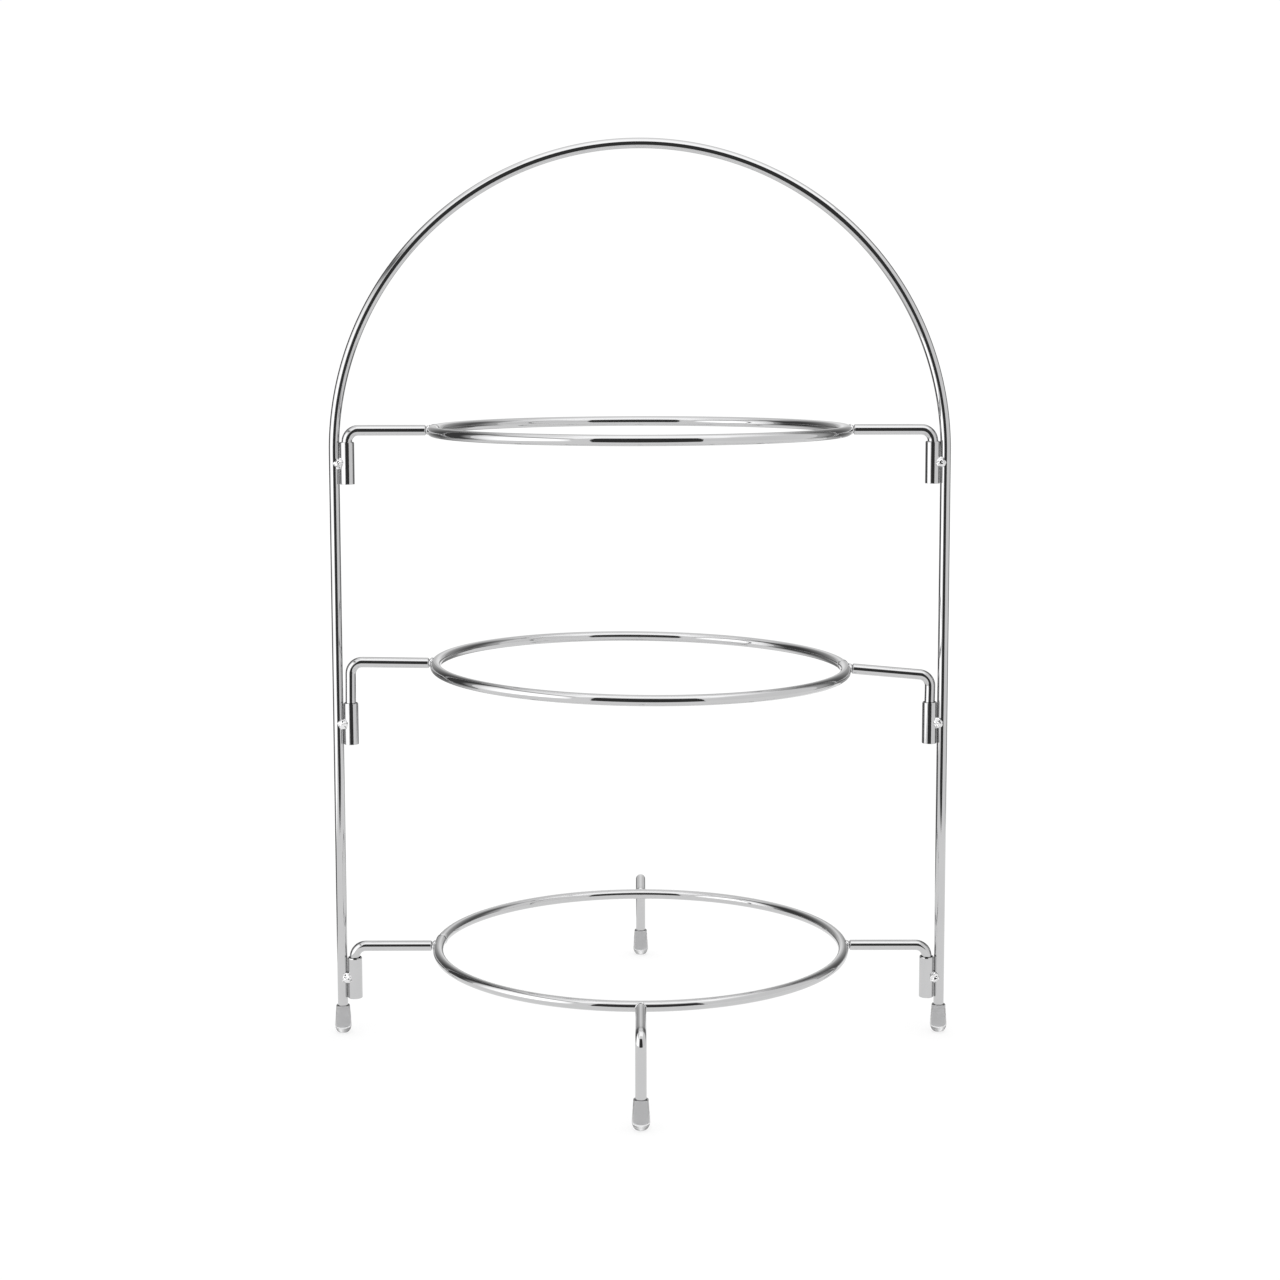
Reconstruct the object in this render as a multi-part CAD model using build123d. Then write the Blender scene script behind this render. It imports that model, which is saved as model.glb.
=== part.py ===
from build123d import *
import math
import os

# Three-tier wire stand for plates.
# Frame: +Z up, +X to the right-hand upright, -Y towards the front leg.
# The origin is on the table, in the middle of the four feet. Millimetres and degrees.

# Wire frame
OVERALL_HEIGHT = 430.0
WIRE_D = 5.0
ARCH_RADIUS = 145.0      # centreline of the handle, and of each upright from the middle
WIRE_R = WIRE_D / 2
SPRING_Z = OVERALL_HEIGHT - WIRE_R - ARCH_RADIUS

# Tiers
RING_RADIUS = 98.0       # centreline of a plate ring
TIER_PITCH = 125.2
BOTTOM_RING_Z = 43.0
BEND_RADIUS = 5.5        # centreline of the bends in arms and legs
LEG_REACH = 135.0        # front and back feet from the middle

# Sockets: plain tube, open at both ends
SOCKET_D = 6.8
SOCKET_BORE = 5.8
SOCKET_LENGTH = 20.0
SOCKET_EDGE = 0.15
SOCKET_GAP = 0.2         # between tube and upright, bridged by the weld
SOCKET_X = ARCH_RADIUS - WIRE_R - SOCKET_GAP - SOCKET_D / 2
ARM_ABOVE_SOCKET = 5.6   # arm centreline over the socket's mouth when the tier is home
PIN_DEPTH = 18.0         # pin inside the socket when the tier is home

# How the tiers stand
TOP_RING_PITCH = 0.5     # the top ring's front edge is a little high
MIDDLE_LIFT = 12.3       # the middle tier stands on its binding pins, not fully home
MIDDLE_LEAN = 0.8        # and its right-hand side hangs lower

# Wires bent out of level: how far they fall from the ring to their bend
FALLS = {"arm_middle_right": 3.1, "leg_front": 1.5}

# Foot caps
CAP_HEIGHT = 13.7
CAP_RIM_R = 3.3
CAP_BELLY_R = 4.0
CAP_BELLY_Z = 4.0
CAP_FLAT_R = 1.5
CAP_FLOOR = 3.0          # the wire ends here, above the table
CAP_RIM_ROUND = 0.35

# Welds
NUGGET_R = 2.3
NUGGET_Y = 1.4           # a lump on the front and one on the back of each socket
BEAD_R = 3.1             # collar of weld round the end of an arm or leg
BEAD_LENGTH = 3.4
BEAD_ROUND = 0.5

SIDES = (("left", 180), ("right", 0))
LEGS = (("front", -90), ("back", 90))
TIERS = (("bottom", 0), ("middle", 1), ("top", 2))

parts = {}


def ring_height(level):
    """Ring centreline of a tier that is home in its sockets."""
    return BOTTOM_RING_Z + level * TIER_PITCH


def socket_mouth(level):
    return ring_height(level) - ARM_ABOVE_SOCKET


def wire(path):
    """Round wire along a path."""
    return sweep(Plane(origin=path @ 0, z_dir=path % 0) * Circle(WIRE_R), path=path)


def arch_frame():
    left_foot = (-ARCH_RADIUS, 0, CAP_FLOOR)
    left_spring = (-ARCH_RADIUS, 0, SPRING_Z)
    crown = (0, 0, SPRING_Z + ARCH_RADIUS)
    right_spring = (ARCH_RADIUS, 0, SPRING_Z)
    right_foot = (ARCH_RADIUS, 0, CAP_FLOOR)
    path = Line(left_foot, left_spring)
    path += ThreePointArc(left_spring, crown, right_spring)
    path += Line(right_spring, right_foot)
    return wire(path)


def socket(level):
    """Tube on the +X side, its mouth up."""
    middle_z = socket_mouth(level) - SOCKET_LENGTH / 2
    tube = Cylinder(SOCKET_D / 2, SOCKET_LENGTH) - Cylinder(SOCKET_BORE / 2, SOCKET_LENGTH)
    tube = chamfer(tube.edges().filter_by(GeomType.CIRCLE), SOCKET_EDGE)
    return Pos(SOCKET_X, 0, middle_z) * tube


def socket_weld(level, socket_solid, upright):
    """Nugget that fills the valley between tube and upright at the tube's mid-height."""
    gap_x = ARCH_RADIUS - WIRE_R - SOCKET_GAP / 2
    middle_z = socket_mouth(level) - SOCKET_LENGTH / 2
    nugget = Pos(gap_x, -NUGGET_Y, middle_z) * Sphere(NUGGET_R)
    nugget += Pos(gap_x, NUGGET_Y, middle_z) * Sphere(NUGGET_R)
    bore = Pos(SOCKET_X, 0, middle_z) * Cylinder(SOCKET_BORE / 2, SOCKET_LENGTH)
    return nugget - socket_solid - bore - upright


def ring(level):
    body = Torus(RING_RADIUS, WIRE_R)
    if level == 2:
        body = Rot(X=-TOP_RING_PITCH) * body
    return Pos(0, 0, ring_height(level)) * body


def bent_wire(name, reach, top_z, end_z, ring_solid):
    """Wire from the ring along +X, bent down at the given reach, and coped to the ring."""
    start = (RING_RADIUS, 0, top_z)
    corner = (reach, 0, top_z - FALLS.get(name, 0))
    end = (reach, 0, end_z)
    path = FilletPolyline(start, corner, end, radius=BEND_RADIUS)
    return wire(path) - ring_solid


def weld_bead(name, reach, level, ring_solid):
    """Collar of weld round the end of an arm or leg that lies along +X."""
    collar = Cylinder(BEAD_R, BEAD_LENGTH)
    collar = fillet(collar.edges().filter_by(GeomType.CIRCLE), BEAD_ROUND)
    collar -= Cylinder(WIRE_R, BEAD_LENGTH)
    collar = Pos(WIRE_R, 0, 0) * Rot(Y=90) * collar
    slope = math.degrees(math.atan2(FALLS.get(name, 0), reach - RING_RADIUS))
    return Pos(RING_RADIUS, 0, ring_height(level)) * Rot(Y=slope) * collar - ring_solid


def foot_cap():
    """Soft cap, bored to push on to the wire, with a small flat to stand on."""
    outline = Line((0, 0), (CAP_FLAT_R, 0))
    outline += EllipticalCenterArc(
        (CAP_FLAT_R, CAP_BELLY_Z),
        CAP_BELLY_R - CAP_FLAT_R,
        CAP_BELLY_Z,
        start_angle=270,
        arc_size=90,
    )
    outline += Polyline(
        (CAP_BELLY_R, CAP_BELLY_Z),
        (CAP_RIM_R, CAP_HEIGHT),
        (WIRE_R, CAP_HEIGHT),
        (WIRE_R, CAP_FLOOR),
        (0, CAP_FLOOR),
        (0, 0),
    )
    cap = revolve(Plane.XZ * make_face(outline), Axis.Z)
    rim = cap.edges().filter_by(GeomType.CIRCLE).group_by(Axis.Z)[-1].sort_by(SortBy.RADIUS)[-1]
    return fillet(rim, CAP_RIM_ROUND)


def lean_middle(shape):
    """Stand the middle tier where it sticks in its sockets: raised, right side lower."""
    pivot_z = socket_mouth(1) - PIN_DEPTH / 2
    return Pos(0, 0, pivot_z + MIDDLE_LIFT) * Rot(Y=MIDDLE_LEAN) * Pos(0, 0, -pivot_z) * shape


def build_frame():
    arch = arch_frame()
    parts["arch_frame"] = arch
    welds = []
    for tier, level in TIERS:
        tube = socket(level)
        weld = socket_weld(level, tube, arch)
        for side, turn in SIDES:
            parts[f"socket_{tier}_{side}"] = Rot(Z=turn) * tube
            welds.append(Rot(Z=turn) * weld)
    parts["socket_welds"] = Compound(welds)


def build_tier(tier, level):
    hoop = ring(level)
    pin_end = socket_mouth(level) - PIN_DEPTH
    solids = {f"ring_{tier}": hoop}
    beads = []
    for side, turn in SIDES:
        turned_ring = Rot(Z=-turn) * hoop
        name = f"arm_{tier}_{side}"
        arm = bent_wire(name, SOCKET_X, ring_height(level), pin_end, turned_ring)
        solids[name] = Rot(Z=turn) * arm
        beads.append(Rot(Z=turn) * weld_bead(name, SOCKET_X, level, turned_ring))
    if tier == "bottom":
        for side, turn in LEGS:
            name = f"leg_{side}"
            leg = bent_wire(name, LEG_REACH, ring_height(level), CAP_FLOOR, hoop)
            solids[name] = Rot(Z=turn) * leg
            beads.append(Rot(Z=turn) * weld_bead(name, LEG_REACH, level, hoop))
    solids[f"welds_{tier}"] = Compound(beads)
    if tier == "middle":
        solids = {name: lean_middle(shape) for name, shape in solids.items()}
    parts.update(solids)


def build_caps():
    cap = foot_cap()
    for side, turn in SIDES:
        parts[f"foot_cap_{side}"] = Rot(Z=turn) * Pos(ARCH_RADIUS, 0, 0) * cap
    for side, turn in LEGS:
        parts[f"foot_cap_{side}"] = Rot(Z=turn) * Pos(LEG_REACH, 0, 0) * cap


build_frame()
for tier, level in TIERS:
    build_tier(tier, level)
build_caps()

os.makedirs("parts", exist_ok=True)
for name, shape in parts.items():
    export_step(shape, f"parts/{name}.step")
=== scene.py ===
import math

import bmesh
import bpy
from mathutils import Matrix, Vector, noise


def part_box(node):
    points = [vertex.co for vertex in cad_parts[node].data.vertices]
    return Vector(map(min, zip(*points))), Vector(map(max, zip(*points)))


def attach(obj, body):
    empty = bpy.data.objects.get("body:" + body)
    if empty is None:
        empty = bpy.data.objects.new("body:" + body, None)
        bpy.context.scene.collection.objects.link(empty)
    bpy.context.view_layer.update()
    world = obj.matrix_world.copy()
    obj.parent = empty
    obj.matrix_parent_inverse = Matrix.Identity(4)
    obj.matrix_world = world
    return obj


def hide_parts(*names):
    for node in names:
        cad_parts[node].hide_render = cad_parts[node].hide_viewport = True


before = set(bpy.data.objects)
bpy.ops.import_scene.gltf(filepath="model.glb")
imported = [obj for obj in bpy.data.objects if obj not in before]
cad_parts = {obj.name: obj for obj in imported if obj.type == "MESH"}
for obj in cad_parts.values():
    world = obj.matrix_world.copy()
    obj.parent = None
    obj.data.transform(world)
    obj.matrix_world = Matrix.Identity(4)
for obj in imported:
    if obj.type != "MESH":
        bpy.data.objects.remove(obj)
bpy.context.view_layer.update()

# Metres, in the CAD model's own frame.
MM = 0.001

# ---------------------------------------------------------------- places, from the frame


def box(node):
    low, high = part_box(node)
    return Vector(low), Vector(high)


arch_low, arch_high = box("arch_frame")
ring_low, ring_high = box("ring_bottom")
arm_low, arm_high = box("arm_bottom_right")
leg_low, _ = box("leg_front")

WIRE_R = round((arch_high.y - arch_low.y) / 2, 5)
ARCH_R = arch_high.x - WIRE_R
SPRING_Z = arch_high.z - WIRE_R - ARCH_R
WIRE_END_Z = arch_low.z
RING_R = ring_high.x - WIRE_R
RING_Z = (ring_low.z + ring_high.z) / 2
ARM_REACH = arm_high.x - WIRE_R
ARM_DROP = RING_Z - arm_low.z
LEG_REACH = -leg_low.y - WIRE_R
LEG_DROP = RING_Z - leg_low.z
BEND_R = 5.5 * MM        # centre line of the bends in arms and legs

TIERS = ("bottom", "middle", "top")
SIDES = {"left": math.pi, "right": 0.0}
LEGS = {"front": -math.pi / 2, "back": math.pi / 2}


def tilt(node, axis_length):
    """Angle of a ring off level, from how much taller than the wire its box is."""
    low, high = box(node)
    return math.asin(max(0.0, (high.z - low.z) / 2 - WIRE_R) / axis_length)


def ring_centre(tier):
    low, high = box(f"ring_{tier}")
    return Matrix.Translation((low + high) / 2)


# One arm and one leg are bent down by this much between the ring and their own bend.
FALLS = {"arm_middle_right": 3.1 * MM, "leg_front": 1.5 * MM}

# The middle tier leans down to the right; only the ring of the top tier is pitched, front up.
TIER_PLACE = {tier: ring_centre(tier) for tier in TIERS}
TIER_PLACE["middle"] @= Matrix.Rotation(tilt("ring_middle", RING_R), 4, "Y")
RING_PITCH = {"bottom": 0.0, "middle": 0.0, "top": -tilt("ring_top", RING_R)}

# ---------------------------------------------------------------- mesh helpers


class Shape:
    """Vertices and faces of one piece."""

    def __init__(self):
        self.points = []
        self.faces = []

    def loops(self, loops, close_ends=True, closed=False):
        """Skin of quads over loops of equal length, with flat ends or joined into a ring."""
        first = len(self.points)
        count = len(loops[0])
        for loop in loops:
            self.points.extend(loop)
        last = len(loops) if closed else len(loops) - 1
        for i in range(last):
            a = first + i * count
            b = first + ((i + 1) % len(loops)) * count
            for j in range(count):
                k = (j + 1) % count
                self.faces.append((a + j, a + k, b + k, b + j))
        if close_ends and not closed:
            self.faces.append(tuple(first + j for j in reversed(range(count))))
            end = first + (len(loops) - 1) * count
            self.faces.append(tuple(end + j for j in range(count)))

    def sheet(self, points, faces):
        first = len(self.points)
        self.points.extend(points)
        self.faces.extend(tuple(first + i for i in face) for face in faces)

    def move(self, matrix):
        self.points = [matrix @ Vector(p) for p in self.points]
        return self

    def add(self, other):
        self.sheet(other.points, other.faces)
        return self


def piece(name, shape, material, body, node, sharp_deg=40.0):
    """A finished piece: rides on its body, stands for its CAD node, takes its slot."""
    mesh = bpy.data.meshes.new(name)
    mesh.from_pydata([tuple(p) for p in shape.points], [], shape.faces)
    mesh.validate()
    mesh.shade_smooth()
    mesh.set_sharp_from_angle(angle=math.radians(sharp_deg))
    mesh.materials.append(material)
    obj = bpy.data.objects.new(name, mesh)
    bpy.context.scene.collection.objects.link(obj)
    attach(obj, body)
    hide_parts(node)
    return obj


def circle(centre, across, up, radius, count):
    step = 2 * math.pi / count
    return [
        centre + radius * (math.cos(i * step) * across + math.sin(i * step) * up)
        for i in range(count)
    ]


def wire(path, side, radius=WIRE_R, count=32, edge=0.25 * MM):
    """Round wire along a flat path of (point, tangent); side is the path plane's normal."""
    start, start_way = path[0]
    end, end_way = path[-1]
    stations = [(start, start_way, radius - edge), (start + start_way * edge, start_way, radius)]
    stations += [(point, way, radius) for point, way in path[1:-1]]
    stations += [(end - end_way * edge, end_way, radius), (end, end_way, radius - edge)]
    shape = Shape()
    shape.loops([circle(p, side, way.cross(side), r, count) for p, way, r in stations])
    return shape


def straight(start, end, steps):
    way = (end - start).normalized()
    return [(start.lerp(end, i / steps), way) for i in range(steps + 1)]


def arc(centre, first, second, radius, turn, steps):
    """Points from centre + radius * first, turning towards second."""
    out = []
    for i in range(1, steps):
        a = turn * i / steps
        point = centre + radius * (math.cos(a) * first + math.sin(a) * second)
        out.append((point, math.cos(a) * second - math.sin(a) * first))
    return out


def lathe(profile, count=64, closed=True):
    """Solid of revolution about Z from a list of (radius, height)."""
    step = 2 * math.pi / count
    loops = [
        [Vector((r * math.cos(i * step), r * math.sin(i * step), z)) for i in range(count)]
        for r, z in profile
    ]
    shape = Shape()
    shape.loops(loops, closed=closed)
    return shape


# ---------------------------------------------------------------- materials


def nodes_for(name):
    """New material, its tree and shader, and the place on the piece; its slot has its name."""
    material = bpy.data.materials.new(name)
    material.use_nodes = True
    material["slot"] = name
    tree = material.node_tree
    shader = tree.nodes["Principled BSDF"]
    place = tree.nodes.new("ShaderNodeTexCoord").outputs["Object"]
    return material, tree, shader, place


# Sizes of the noises, in repeats per metre: from cloudy polish down to pits.
CLOUDS, WAVES, SMEARS, SKIN_CLOUDS, SKIN, PITS = 60.0, 90.0, 140.0, 350.0, 900.0, 2600.0


def noise_at(tree, place, per_metre, detail=3.0, rough=0.5):
    node = tree.nodes.new("ShaderNodeTexNoise")
    node.inputs["Scale"].default_value = per_metre
    node.inputs["Detail"].default_value = detail
    node.inputs["Roughness"].default_value = rough
    tree.links.new(place, node.inputs["Vector"])
    return node.outputs["Fac"]


def span(tree, value, low, high, from_low=0.3, from_high=0.7):
    """Value mapped from from_low..from_high, where most noise lies, to low..high."""
    node = tree.nodes.new("ShaderNodeMapRange")
    node.inputs["From Min"].default_value = from_low
    node.inputs["From Max"].default_value = from_high
    node.inputs["To Min"].default_value = low
    node.inputs["To Max"].default_value = high
    tree.links.new(value, node.inputs["Value"])
    return node.outputs["Result"]


def grey(level, blue=0.0):
    return (level, level, level + blue)


def mix_colour(tree, value, low, high):
    """Mix of two colours; each is a constant or another node's output."""
    node = tree.nodes.new("ShaderNodeMix")
    node.data_type = "RGBA"
    for name, colour in (("A", low), ("B", high)):
        if isinstance(colour, tuple):
            node.inputs[name].default_value = (*colour, 1)
        else:
            tree.links.new(colour, node.inputs[name])
    tree.links.new(value, node.inputs["Factor"])
    return node.outputs["Result"]


def bump(tree, height, distance, strength, after=None):
    node = tree.nodes.new("ShaderNodeBump")
    node.inputs["Distance"].default_value = distance
    node.inputs["Strength"].default_value = strength
    tree.links.new(height, node.inputs["Height"])
    if after is not None:
        tree.links.new(after, node.inputs["Normal"])
    return node.outputs["Normal"]


def chrome(name, rough_low, rough_high, wave, grain, tone=0.55):
    """Plated metal: cloudy polish, a faint waviness of the plate, and fine pits."""
    material, tree, shader, place = nodes_for(name)
    shader.inputs["Metallic"].default_value = 1.0
    cloud = noise_at(tree, place, CLOUDS, detail=4.0)
    colour = mix_colour(tree, cloud, grey(tone - 0.02, 0.005), grey(tone + 0.025, 0.003))
    tree.links.new(colour, shader.inputs["Base Color"])
    smear = noise_at(tree, place, SMEARS, detail=5.0, rough=0.6)
    tree.links.new(span(tree, smear, rough_low, rough_high), shader.inputs["Roughness"])
    waviness = bump(tree, noise_at(tree, place, WAVES, detail=1.0), 0.2 * MM, wave)
    pits = noise_at(tree, place, PITS, detail=2.0)
    tree.links.new(bump(tree, pits, 0.02 * MM, grain, waviness), shader.inputs["Normal"])
    return material


def clear_plastic_painted_shade(name):
    """Soft clear plastic with a satin moulded skin; its colour is painted darker at its outline:
    painted shade.

    The sleeve round the wire is painted greyer than the solid dome below the wire's end: painted
    shade of the wire inside it.
    """
    material, tree, shader, place = nodes_for(name)
    cloud = noise_at(tree, place, SKIN_CLOUDS)
    # Painted shade: the sleeve round the wire is greyer than the dome below the wire's end; its
    # cloudy tone is the plastic's own.
    sleeve = mix_colour(tree, cloud, grey(0.70, 0.005), grey(0.80, 0.005))
    height = tree.nodes.new("ShaderNodeSeparateXYZ")
    tree.links.new(place, height.inputs["Vector"])
    soft = 0.5 * MM
    over_dome = span(tree, height.outputs["Z"], 0, 1, WIRE_END_Z - soft, WIRE_END_Z + soft)
    body = mix_colour(tree, over_dome, grey(0.95, 0.005), sleeve)
    # Painted shade: the colour turns dark grey where the surface is seen edge-on, at the outline.
    facing = tree.nodes.new("ShaderNodeLayerWeight").outputs["Facing"]
    outline = span(tree, facing, 0, 1, 0.60, 0.90)
    colour = mix_colour(tree, outline, body, grey(0.25, 0.005))
    tree.links.new(colour, shader.inputs["Base Color"])
    shader.inputs["Transmission Weight"].default_value = 0.9
    shader.inputs["IOR"].default_value = 1.46
    tree.links.new(span(tree, cloud, 0.09, 0.16), shader.inputs["Roughness"])
    skin = noise_at(tree, place, SKIN, detail=2.0)
    tree.links.new(bump(tree, skin, 0.01 * MM, 0.25), shader.inputs["Normal"])
    return material


CHROME_WIRE = chrome("chrome_wire", rough_low=0.02, rough_high=0.06, wave=0.05, grain=0.10)
CHROME_TUBE = chrome("chrome_tube", rough_low=0.03, rough_high=0.08, wave=0.05, grain=0.18)
WELD_METAL = chrome("weld_metal", rough_low=0.06, rough_high=0.16, wave=0.12, grain=0.20, tone=0.78)
CLEAR_CAP = clear_plastic_painted_shade("clear_cap")

# ---------------------------------------------------------------- the object


def arch():
    """Both uprights and the handle, one bent wire with its ends in the foot caps."""
    left_foot = Vector((-ARCH_R, 0, WIRE_END_Z))
    left_spring = Vector((-ARCH_R, 0, SPRING_Z))
    right_spring = Vector((ARCH_R, 0, SPRING_Z))
    right_foot = Vector((ARCH_R, 0, WIRE_END_Z))
    crown_centre = Vector((0, 0, SPRING_Z))
    path = straight(left_foot, left_spring, 24)
    path += arc(crown_centre, Vector((-1, 0, 0)), Vector((0, 0, 1)), ARCH_R, math.pi, 150)
    path += straight(right_spring, right_foot, 24)
    return wire(path, Vector((0, 1, 0)))


def socket(node):
    """Short tube, open at both ends; its mouth is turned in a little, and ragged from cutting."""
    low, high = box(node)
    tube_r = (high.x - low.x) / 2
    bore, radius = tube_r - 0.35 * MM, tube_r + 0.12 * MM
    edge = 0.12 * MM
    mouth, turned_in = 0.45 * MM, 0.16 * MM
    raggedness = 0.03
    top, bottom = high.z, low.z
    profile = [
        (bore, bottom + edge),
        (bore + edge, bottom),
        (radius - edge, bottom),
        (radius, bottom + edge),
        (radius, bottom + 2 * edge),
        (radius, top - mouth - edge),
        (radius, top - mouth),
        (radius - turned_in, top),
        (bore, top),
    ]
    centre = (low + high) / 2
    shape = lathe(profile)
    for i, point in enumerate(shape.points):
        if point.z == top:
            ragged = noise.noise(Vector((point.x, point.y, centre.x * 9)) / MM * 1.1)
            width = 1 + raggedness * ragged
            shape.points[i] = Vector((point.x * width, point.y * width, top))
    return shape.move(Matrix.Translation((centre.x, centre.y, 0)))


def sphere_points(levels):
    """Unit icosphere as points and faces."""
    ball = bmesh.new()
    bmesh.ops.create_icosphere(ball, subdivisions=levels, radius=1.0)
    points = [v.co.copy() for v in ball.verts]
    faces = [tuple(v.index for v in f.verts) for f in ball.faces]
    ball.free()
    return points, faces


BALL_POINTS, BALL_FACES = sphere_points(5)


def socket_nugget(node, seed):
    """Lumpy weld over the valley between a socket and its upright, on the front and the back."""
    low, high = box(node)
    tube = (low + high) / 2
    outward = math.copysign(1, tube.x)
    tube_r = (high.x - low.x) / 2
    keep_out = tube_r - 0.3 * MM
    valley_x = tube.x + outward * (tube_r + 0.15 * MM)
    width, depth, height = 2.65 * MM, 2.45 * MM, 2.5 * MM
    shape = Shape()
    for facing in (-1, 1):
        middle = Vector((valley_x, facing * 1.75 * MM, tube.z))
        shift = Vector((seed * 7.1, seed * 3.3, facing * 5.7))
        points = []
        for unit in BALL_POINTS:
            lump = 1 + 0.25 * noise.noise(unit * 1.5 + shift)
            lump += 0.12 * noise.noise(unit * 3.2 + shift)
            point = middle + Vector((unit.x * width, unit.y * depth, unit.z * height)) * lump
            from_tube = Vector((point.x - tube.x, point.y, 0))
            if from_tube.length < keep_out:
                # Stays in the tube's wall, clear of its bore.
                from_tube = from_tube.normalized() * keep_out
                point = Vector((tube.x + from_tube.x, from_tube.y, point.z))
            points.append(point)
        shape.sheet(points, BALL_FACES)
    return shape


def ring(tier, seam_deg):
    """Plate ring: round wire bent to a hoop and butt-welded: a groove between two low swellings."""
    seam = math.radians(seam_deg)

    def past_seam(angle):
        """Millimetres along the ring from the seam."""
        return math.remainder(angle - seam, 2 * math.pi) * RING_R / MM

    # Millimetres: heights, places and widths of the swellings and the groove.
    swelling, swelling_at, swelling_width = 0.20, 0.8, 0.3
    groove, groove_width = 0.75, 0.28
    # Close-set loops at the seam, even ones all round the rest.
    side = [0.1, 0.2, 0.3, 0.4, 0.55, 0.75, 0.95, 1.15, 1.4]
    near = [seam + offset * MM / RING_R for offset in [-x for x in side] + [0] + side]
    even = [2 * math.pi * i / 216 for i in range(216)]
    angles = sorted([a for a in even if abs(past_seam(a)) > 1.7] + near)
    loops = []
    for a in angles:
        away = Vector((math.cos(a), math.sin(a), 0))
        gap = past_seam(a)
        flash = swelling * MM * math.exp(-(((abs(gap) - swelling_at) / swelling_width) ** 2))
        flash -= groove * MM * math.exp(-((gap / groove_width) ** 2))
        loops.append(circle(away * RING_R, away, Vector((0, 0, 1)), WIRE_R + flash, 32))
    shape = Shape()
    shape.loops(loops, closed=True)
    place = TIER_PLACE[tier] @ Matrix.Rotation(RING_PITCH[tier], 4, "X")
    return shape.move(place)


# The end of a wire is melted down where it is butted to the ring: a neck next to the ring, then
# a groove, then the wire's own rounded end. Widths are shares of the wire's radius.
NECK, GROOVE = 0.87, 0.62
# Millimetres from the ring's surface.
NECK_END, GROOVE_AT, ROUND_END = 0.4, 0.8, 1.5
END_LENGTH = WIRE_R + ROUND_END * MM


def end_width(along):
    """Share of the wire's radius left at this distance from the ring's own centre line."""
    t = (along - WIRE_R) / MM
    if t < NECK_END:
        return NECK
    if t < GROOVE_AT:
        return NECK + (GROOVE - NECK) * (t - NECK_END) / (GROOVE_AT - NECK_END)
    t = min(1.0, (t - GROOVE_AT) / (ROUND_END - GROOVE_AT))
    return GROOVE + (1 - GROOVE) * math.sqrt(t * (2 - t))


def bent_wire(reach, drop, fall):
    """Wire from inside the ring along +X, bent down at its reach. Origin at the ring's centre."""
    slope = math.atan2(fall, reach - RING_R)
    out = Vector((math.cos(slope), 0, -math.sin(slope)))
    above = Vector((math.sin(slope), 0, math.cos(slope)))
    turn = math.pi / 2 - slope
    corner = Vector((reach, 0, -fall))
    ring_side = Vector((RING_R, 0, 0))
    bend_start = corner - out * BEND_R * math.tan(turn / 2)
    path = straight(ring_side, ring_side + out * END_LENGTH, 40)
    path += straight(ring_side + out * END_LENGTH, bend_start, 6)[1:]
    path += arc(bend_start - above * BEND_R, above, out, BEND_R, turn, 14)
    down = Vector((reach, 0, -fall - BEND_R * math.tan(turn / 2)))
    path += straight(down, Vector((reach, 0, -drop)), 6)
    shape = wire(path, Vector((0, 1, 0)))
    for i, point in enumerate(shape.points):
        along = (point - ring_side).dot(out)
        if along < END_LENGTH:
            axis = ring_side + out * along
            shape.points[i] = axis + (point - axis) * end_width(along)
    return shape


def bead(seed, reach, fall):
    """Weld bead that follows the saddle where a wire's end meets the ring."""
    count, around = 72, 18
    neck_r = WIRE_R * NECK
    loops = []
    for i in range(count):
        a = 2 * math.pi * i / count
        out = Vector((0, math.sin(a), math.cos(a)))
        lump = noise.noise(out * 1.7 + Vector((seed * 4.7, 0, 0)))
        fine = noise.noise(out * 5.0 + Vector((0, seed * 2.9, 0)))
        size = (0.46 + 0.14 * lump + 0.08 * fine) * MM
        saddle = RING_R + math.sqrt((WIRE_R + size * 0.5) ** 2 - (neck_r * math.cos(a)) ** 2)
        centre = Vector((saddle + 0.08 * MM * lump, 0, 0)) + out * (neck_r - 0.02 * MM)
        loops.append(circle(centre, Vector((1, 0, 0)), out, size, around))
    shape = Shape()
    shape.loops(loops, closed=True)
    slope = math.atan2(fall, reach - RING_R)
    ring_line = Matrix.Translation((RING_R, 0, 0))
    return shape.move(ring_line @ Matrix.Rotation(slope, 4, "Y") @ ring_line.inverted())


def foot_cap(node):
    """Push-on cap: round belly on a flat, slight taper to a rolled rim, bored for the wire."""
    low, high = box(node)
    belly = (high.x - low.x) / 2
    rim = belly - 0.7 * MM
    flat = 1.5 * MM
    belly_z = 4.0 * MM
    top = high.z
    roll = 0.4 * MM
    tuck = 0.03 * MM               # the bore lies just inside the wire's surface: no gap shows
    bore = WIRE_R - tuck
    profile = []
    for i in range(13):
        a = -math.pi / 2 + i * math.pi / 24
        profile.append((flat + (belly - flat) * math.cos(a), belly_z + belly_z * math.sin(a)))
    for i in range(1, 8):
        t = i / 8
        profile.append((belly + (rim - belly) * t, belly_z + (top - roll - belly_z) * t))
    for i in range(7):
        a = i * math.pi / 12
        profile.append((rim - roll + roll * math.cos(a), top - roll + roll * math.sin(a)))
    profile.append((bore + 0.15 * MM, top))
    profile.append((bore, top - 0.15 * MM))
    profile.append((bore, WIRE_END_Z + tuck))
    shape = lathe(profile, count=64, closed=False)
    centre = (low + high) / 2
    return shape.move(Matrix.Translation((centre.x, centre.y, 0)))


piece("wire_arch", arch(), CHROME_WIRE, "frame", "arch_frame")

nuggets = Shape()
for tier in TIERS:
    for side in SIDES:
        node = f"socket_{tier}_{side}"
        piece(f"tube_{tier}_{side}", socket(node), CHROME_TUBE, "frame", node)
        nuggets.add(socket_nugget(node, TIERS.index(tier) * 2 + (side == "left") + 1))
piece("socket_nuggets", nuggets, WELD_METAL, "frame", "socket_welds", sharp_deg=180)

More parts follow.
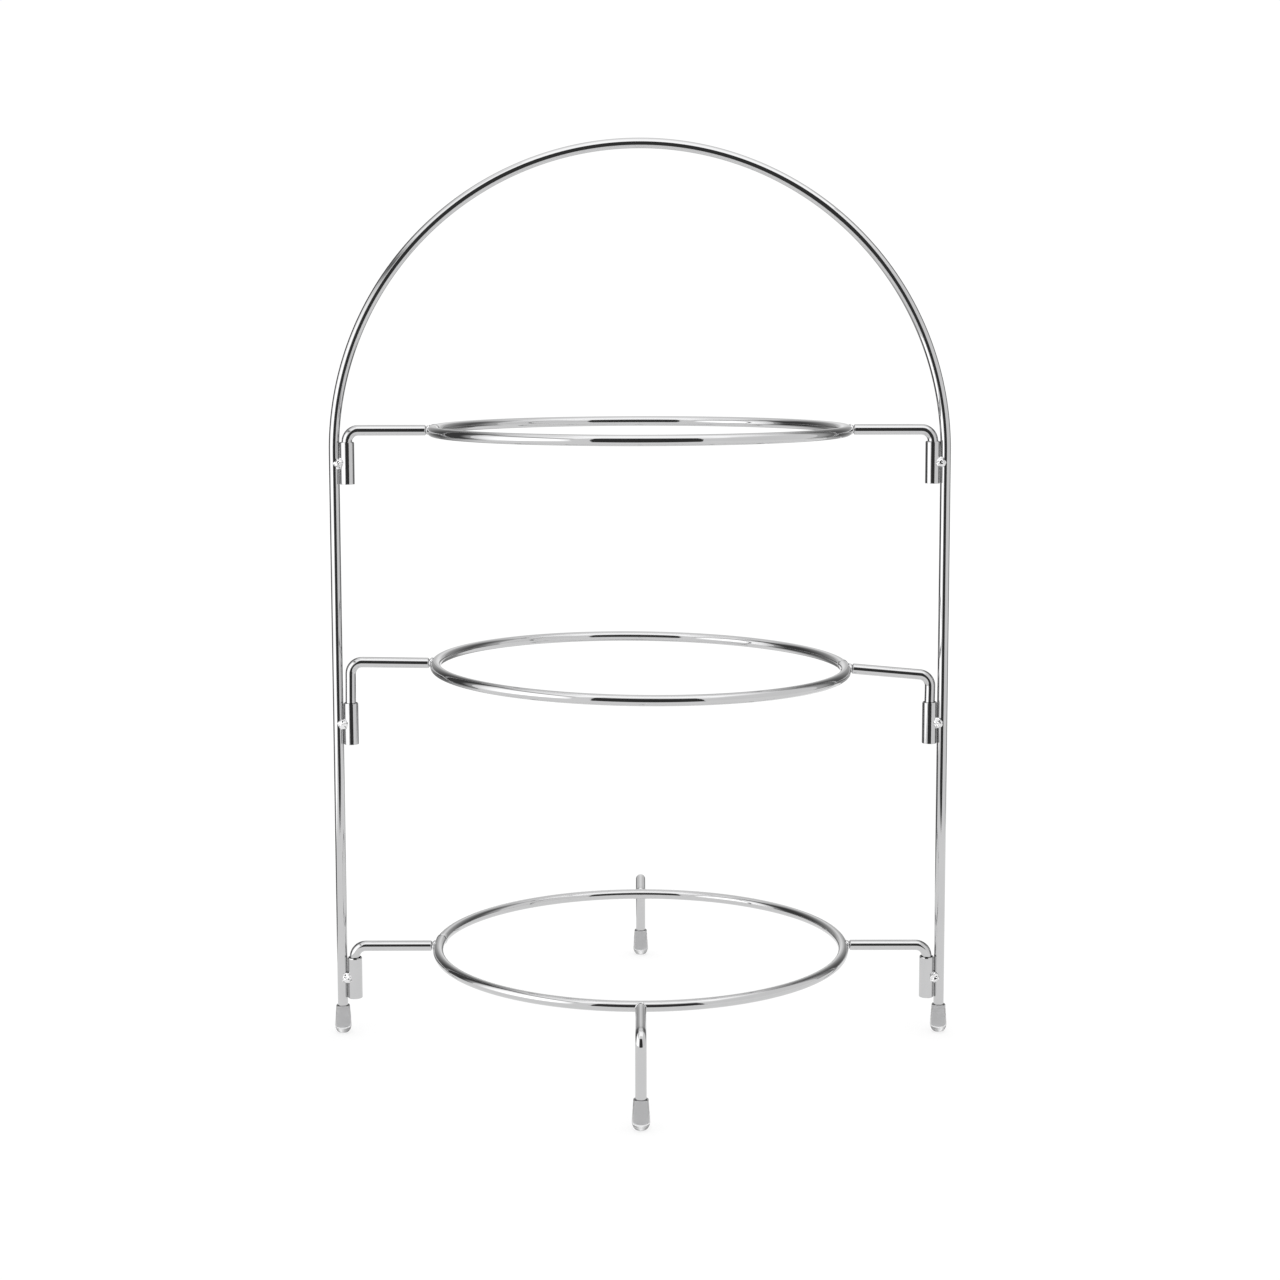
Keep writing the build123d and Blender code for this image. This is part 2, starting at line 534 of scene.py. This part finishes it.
# Where each ring's seam is, in degrees from the right-hand arm.
SEAMS = {"bottom": 173.8, "middle": 5.2, "top": 177.0}
for tier in TIERS:
    body = f"{tier}_tier"
    level = TIERS.index(tier)
    piece(f"wire_ring_{tier}", ring(tier, SEAMS[tier]), CHROME_WIRE, body, f"ring_{tier}", 80)
    beads = Shape()
    bent = [(f"arm_{tier}_{side}", turn, ARM_REACH, ARM_DROP) for side, turn in SIDES.items()]
    if tier == "bottom":
        bent += [(f"leg_{side}", turn, LEG_REACH, LEG_DROP) for side, turn in LEGS.items()]
    for node, turn, reach, drop in bent:
        place = TIER_PLACE[tier] @ Matrix.Rotation(turn, 4, "Z")
        fall = FALLS.get(node, 0.0)
        shape = bent_wire(reach, drop, fall).move(place)
        piece(f"wire_{node}", shape, CHROME_WIRE, body, node)
        beads.add(bead(level * 3 + turn, reach, fall).move(place))
    piece(f"beads_{tier}", beads, WELD_METAL, body, f"welds_{tier}", sharp_deg=180)

for side in ("left", "right", "front", "back"):
    body = "frame" if side in SIDES else "bottom_tier"
    node = f"foot_cap_{side}"
    piece(f"cap_{side}", foot_cap(node), CLEAR_CAP, body, node, sharp_deg=60)

# ---------------------------------------------------------------- studio

# Light panels and dark flags stand round the table; the camera looks between them.
SIDE = 0.55                       # side walls of the tent
FRONT = -1.08                     # dark room behind the camera
FRONT_LEFT, FRONT_RIGHT = -0.50, 0.68
BACK = 1.0                        # pale backdrop
BACKDROP_X = 0.30                 # half its width
TOP = 1.1                         # overhead light
HOOD_Y, HOOD_Z = -0.44, 0.73      # its lower front edge
HOOD_X = 0.7                      # half its width
LEFT_TURN, RIGHT_TURN = 0.03, 0.10    # where the side walls turn dark
CORNER_X, CORNER_Y = 0.62, 0.42       # widest point of the dark flags
SOFTBOX_TOP, GAP_TOP = 0.58, 0.76     # the left wall: softbox, dark gap, slanting top light
SOFTBOX_FRONT, TENT_FRONT = -0.80, -0.86
REFLECTOR_TOP, BACK_FLAG_TOP, BACKDROP_TOP = 0.9, 1.25, 1.4
SLANT_X = -0.35                   # where the slanting top light ends
HOOD_BACK = 0.6
TABLE_Z, WALL_Z = 0.0006, 0.002   # panels lie and stand just clear of the floor
TABLE_EDGE = -0.43                # front edge of the white table
NEAR = TABLE_EDGE / FRONT
DARK = 0.05
PANEL_STEPS = 24


def glow(name, painted_reflection=False):
    """Emission whose strength is painted on the panel's own points.

    A panel with a painted reflection lies on the table: it has that strength seen along the table,
    and is white seen from above; it paints the reflection of what stands behind it in a polished
    table top.
    """
    material = bpy.data.materials.new(name)
    material.use_nodes = True
    tree = material.node_tree
    tree.nodes.remove(tree.nodes["Principled BSDF"])
    painted = tree.nodes.new("ShaderNodeAttribute")
    painted.attribute_name = "level"
    light = tree.nodes.new("ShaderNodeEmission")
    light.inputs["Color"].default_value = (1, 1, 1, 1)
    strength = painted.outputs["Fac"]
    # Painted reflection: the painted strength seen along the table, white seen from above.
    if painted_reflection:
        facing = tree.nodes.new("ShaderNodeLayerWeight").outputs["Facing"]
        along = span(tree, facing, 0.0, 1.0, 0.35, 0.65)
        mix = tree.nodes.new("ShaderNodeMix")
        mix.inputs["A"].default_value = 1.0
        tree.links.new(along, mix.inputs["Factor"])
        tree.links.new(strength, mix.inputs["B"])
        strength = mix.outputs["Result"]
    tree.links.new(strength, light.inputs["Strength"])
    tree.links.new(light.outputs[0], tree.nodes["Material Output"].inputs["Surface"])
    return material


def panel(name, corners, level, painted_reflection=False):
    """Four-cornered panel that only shows in reflections and through clear plastic.

    level is one strength, or a function of the place across (u) and up (v) the panel.
    """
    a, b, c, d = (Vector(corner) for corner in corners)
    points, levels, faces = [], [], []
    for j in range(PANEL_STEPS + 1):
        for i in range(PANEL_STEPS + 1):
            u, v = i / PANEL_STEPS, j / PANEL_STEPS
            points.append(a.lerp(b, u).lerp(d.lerp(c, u), v))
            levels.append(level(u, v) if callable(level) else level)
    row = PANEL_STEPS + 1
    for j in range(PANEL_STEPS):
        for i in range(PANEL_STEPS):
            k = j * row + i
            faces.append((k, k + 1, k + row + 1, k + row))
    mesh = bpy.data.meshes.new(name)
    mesh.from_pydata([tuple(p) for p in points], [], faces)
    mesh.attributes.new("level", "FLOAT", "POINT").data.foreach_set("value", levels)
    mesh.materials.append(glow(name, painted_reflection))
    obj = bpy.data.objects.new(name, mesh)
    bpy.context.scene.collection.objects.link(obj)
    obj.visible_camera = False
    obj.visible_diffuse = False
    obj.visible_shadow = False


def wall(name, x0, y0, x1, y1, bottom, top, level):
    """Upright panel from (x0, y0) to (x1, y1)."""
    panel(name, [(x0, y0, bottom), (x1, y1, bottom), (x1, y1, top), (x0, y0, top)], level)


def blend(a, b, t):
    """Smooth step from a at t = 0 to b at t = 1."""
    t = min(1.0, max(0.0, t))
    t = t * t * (3 - 2 * t)
    return a + (b - a) * t


def on_table(name, corners, level, painted_reflection=False):
    """Panel that lies on the table."""
    panel(name, [(x, y, TABLE_Z) for x, y in corners], level, painted_reflection)


def floor():
    mesh = bpy.data.meshes.new("floor")
    size = 6.0
    corners = [(-size, -size, 0), (size, -size, 0), (size, size, 0), (-size, size, 0)]
    mesh.from_pydata(corners, [], [(0, 1, 2, 3)])
    material = bpy.data.materials.new("floor_white")
    material.use_nodes = True
    shader = material.node_tree.nodes["Principled BSDF"]
    shader.inputs["Base Color"].default_value = (0.35, 0.35, 0.35, 1)
    shader.inputs["Roughness"].default_value = 0.9
    shader.inputs["Specular IOR Level"].default_value = 0.0
    shader.inputs["Emission Color"].default_value = (1, 1, 1, 1)
    shader.inputs["Emission Strength"].default_value = 0.68    # white all over, as in the photo
    mesh.materials.append(material)
    obj = bpy.data.objects.new("floor", mesh)
    bpy.context.scene.collection.objects.link(obj)


floor()

# In front: the dark room, and the dark floor between it and the table.
panel("front_dark", [(FRONT_LEFT, FRONT, 0), (FRONT_RIGHT, FRONT, 0), (FRONT_RIGHT, FRONT, TOP),
                     (FRONT_LEFT, FRONT, TOP)], DARK)
on_table("table_front_dark", [(FRONT_LEFT * NEAR, TABLE_EDGE), (FRONT_RIGHT * NEAR, TABLE_EDGE),
                              (FRONT_RIGHT, FRONT), (FRONT_LEFT, FRONT)],
         lambda u, v: blend(0.6, DARK, v * 10))

# The sides: a softbox on the left, a reflector on the right, dark flags behind both.
wall("left_softbox", -SIDE, SOFTBOX_FRONT, -SIDE, LEFT_TURN, WALL_Z, SOFTBOX_TOP,
     lambda u, v: 1.1 + 1.1 * math.sin(math.pi * min(1, u * 1.05)) ** 0.6 * (1 - v ** 6))
wall("left_gap", -SIDE, SOFTBOX_FRONT, -SIDE, LEFT_TURN, SOFTBOX_TOP, GAP_TOP,
     lambda u, v: blend(0.2, 1.1, abs(v - 0.45) * 2))
wall("right_reflector", SIDE, TENT_FRONT, SIDE, RIGHT_TURN, WALL_Z, REFLECTOR_TOP,
     lambda u, v: blend(0.98, 1.4, (v - 0.6) / 0.4))
wall("left_flag", -SIDE, LEFT_TURN, -CORNER_X, CORNER_Y, WALL_Z, TOP,
     lambda u, v: blend(blend(0.5, 0.07, u * 3.5), 0.95, (v - 0.62) / 0.36))
wall("left_flag_back", -CORNER_X, CORNER_Y, -BACKDROP_X, BACK, WALL_Z, BACK_FLAG_TOP,
     lambda u, v: blend(blend(0.09, 0.45, u), 1.0, (v - 0.6) / 0.4))
wall("right_flag", SIDE, RIGHT_TURN, CORNER_X, CORNER_Y, WALL_Z, TOP,
     lambda u, v: blend(blend(0.6, 0.18, u * 1.3), 0.95, (v - 0.6) / 0.4))
wall("right_flag_back", CORNER_X, CORNER_Y, BACKDROP_X, BACK, WALL_Z, BACK_FLAG_TOP,
     lambda u, v: blend(blend(0.12, 0.45, u), 1.0, (v - 0.55) / 0.45))
wall("backdrop", -BACKDROP_X, BACK, BACKDROP_X, BACK, WALL_Z, BACKDROP_TOP,
     lambda u, v: blend(1.0, 0.65, abs(u - 0.5) * 2.4))

# Painted reflection of the flags behind the table, as a polished table top would mirror them.
REFLECTION_START, LEFT_CORNER = (0, 0.22), (-0.61, 0.44)
on_table("table_back_painted_reflection", [REFLECTION_START, (0.18, 0.36), (0.26, BACK), (0, BACK)],
         lambda u, v: blend(0.8, 0.25, v * 6), painted_reflection=True)
on_table("table_left_painted_reflection", [REFLECTION_START, (-0.35, 0.02), (-0.56, 0.03), LEFT_CORNER],
         lambda u, v: blend(0.7, 0.12, v * 6), painted_reflection=True)
on_table("table_back_left_painted_reflection", [REFLECTION_START, LEFT_CORNER, (-BACKDROP_X, BACK), (0, BACK)],
         0.2, painted_reflection=True)
on_table("table_right_painted_reflection", [(0.18, 0.45), (0.50, 0.36), (0.60, 0.44), (0.26, BACK)],
         0.4, painted_reflection=True)

# Overhead: a slanting light over the left wall, and the hood with its front edge.
panel("top_left", [(-SIDE, TENT_FRONT, GAP_TOP), (-SIDE, LEFT_TURN, GAP_TOP),
                   (SLANT_X, LEFT_TURN, TOP), (SLANT_X, TENT_FRONT, TOP)],
      lambda u, v: blend(1.6, 1.2, u))
wall("hood", -HOOD_X, HOOD_Y, HOOD_X, HOOD_Y, HOOD_Z, TOP, 1.7)
panel("top", [(-HOOD_X, HOOD_Y, TOP), (HOOD_X, HOOD_Y, TOP), (HOOD_X, HOOD_BACK, TOP),
              (-HOOD_X, HOOD_BACK, TOP)], lambda u, v: blend(1.7, 1.0, v * 1.2 - 0.1))

world = bpy.data.worlds.new("studio")
world.use_nodes = True
background = world.node_tree.nodes["Background"]
background.inputs["Color"].default_value = (1, 1, 1, 1)
background.inputs["Strength"].default_value = 1.03
bpy.context.scene.world = world
bpy.context.scene.view_settings.view_transform = "Standard"

# ---------------------------------------------------------------- camera

EYE = Vector((0.0, -1.1001, 0.3546))
PITCH_DEG = 6.403
ROLL_DEG = -0.1
SENSOR_MM, LENS_MM = 36.0, 65.31
SHIFT_Y = -0.0622        # lens shift for the photo's framing

camera = bpy.data.objects.new("camera", bpy.data.cameras.new("camera"))
camera.data.sensor_width = SENSOR_MM
camera.data.lens = LENS_MM
camera.data.shift_y = SHIFT_Y
down = Matrix.Rotation(math.radians(90 - PITCH_DEG), 4, "X")
roll = Matrix.Rotation(math.radians(ROLL_DEG), 4, "Z")
camera.matrix_world = Matrix.Translation(EYE) @ down @ roll
bpy.context.scene.collection.objects.link(camera)
bpy.context.scene.camera = camera

bpy.context.view_layer.update()
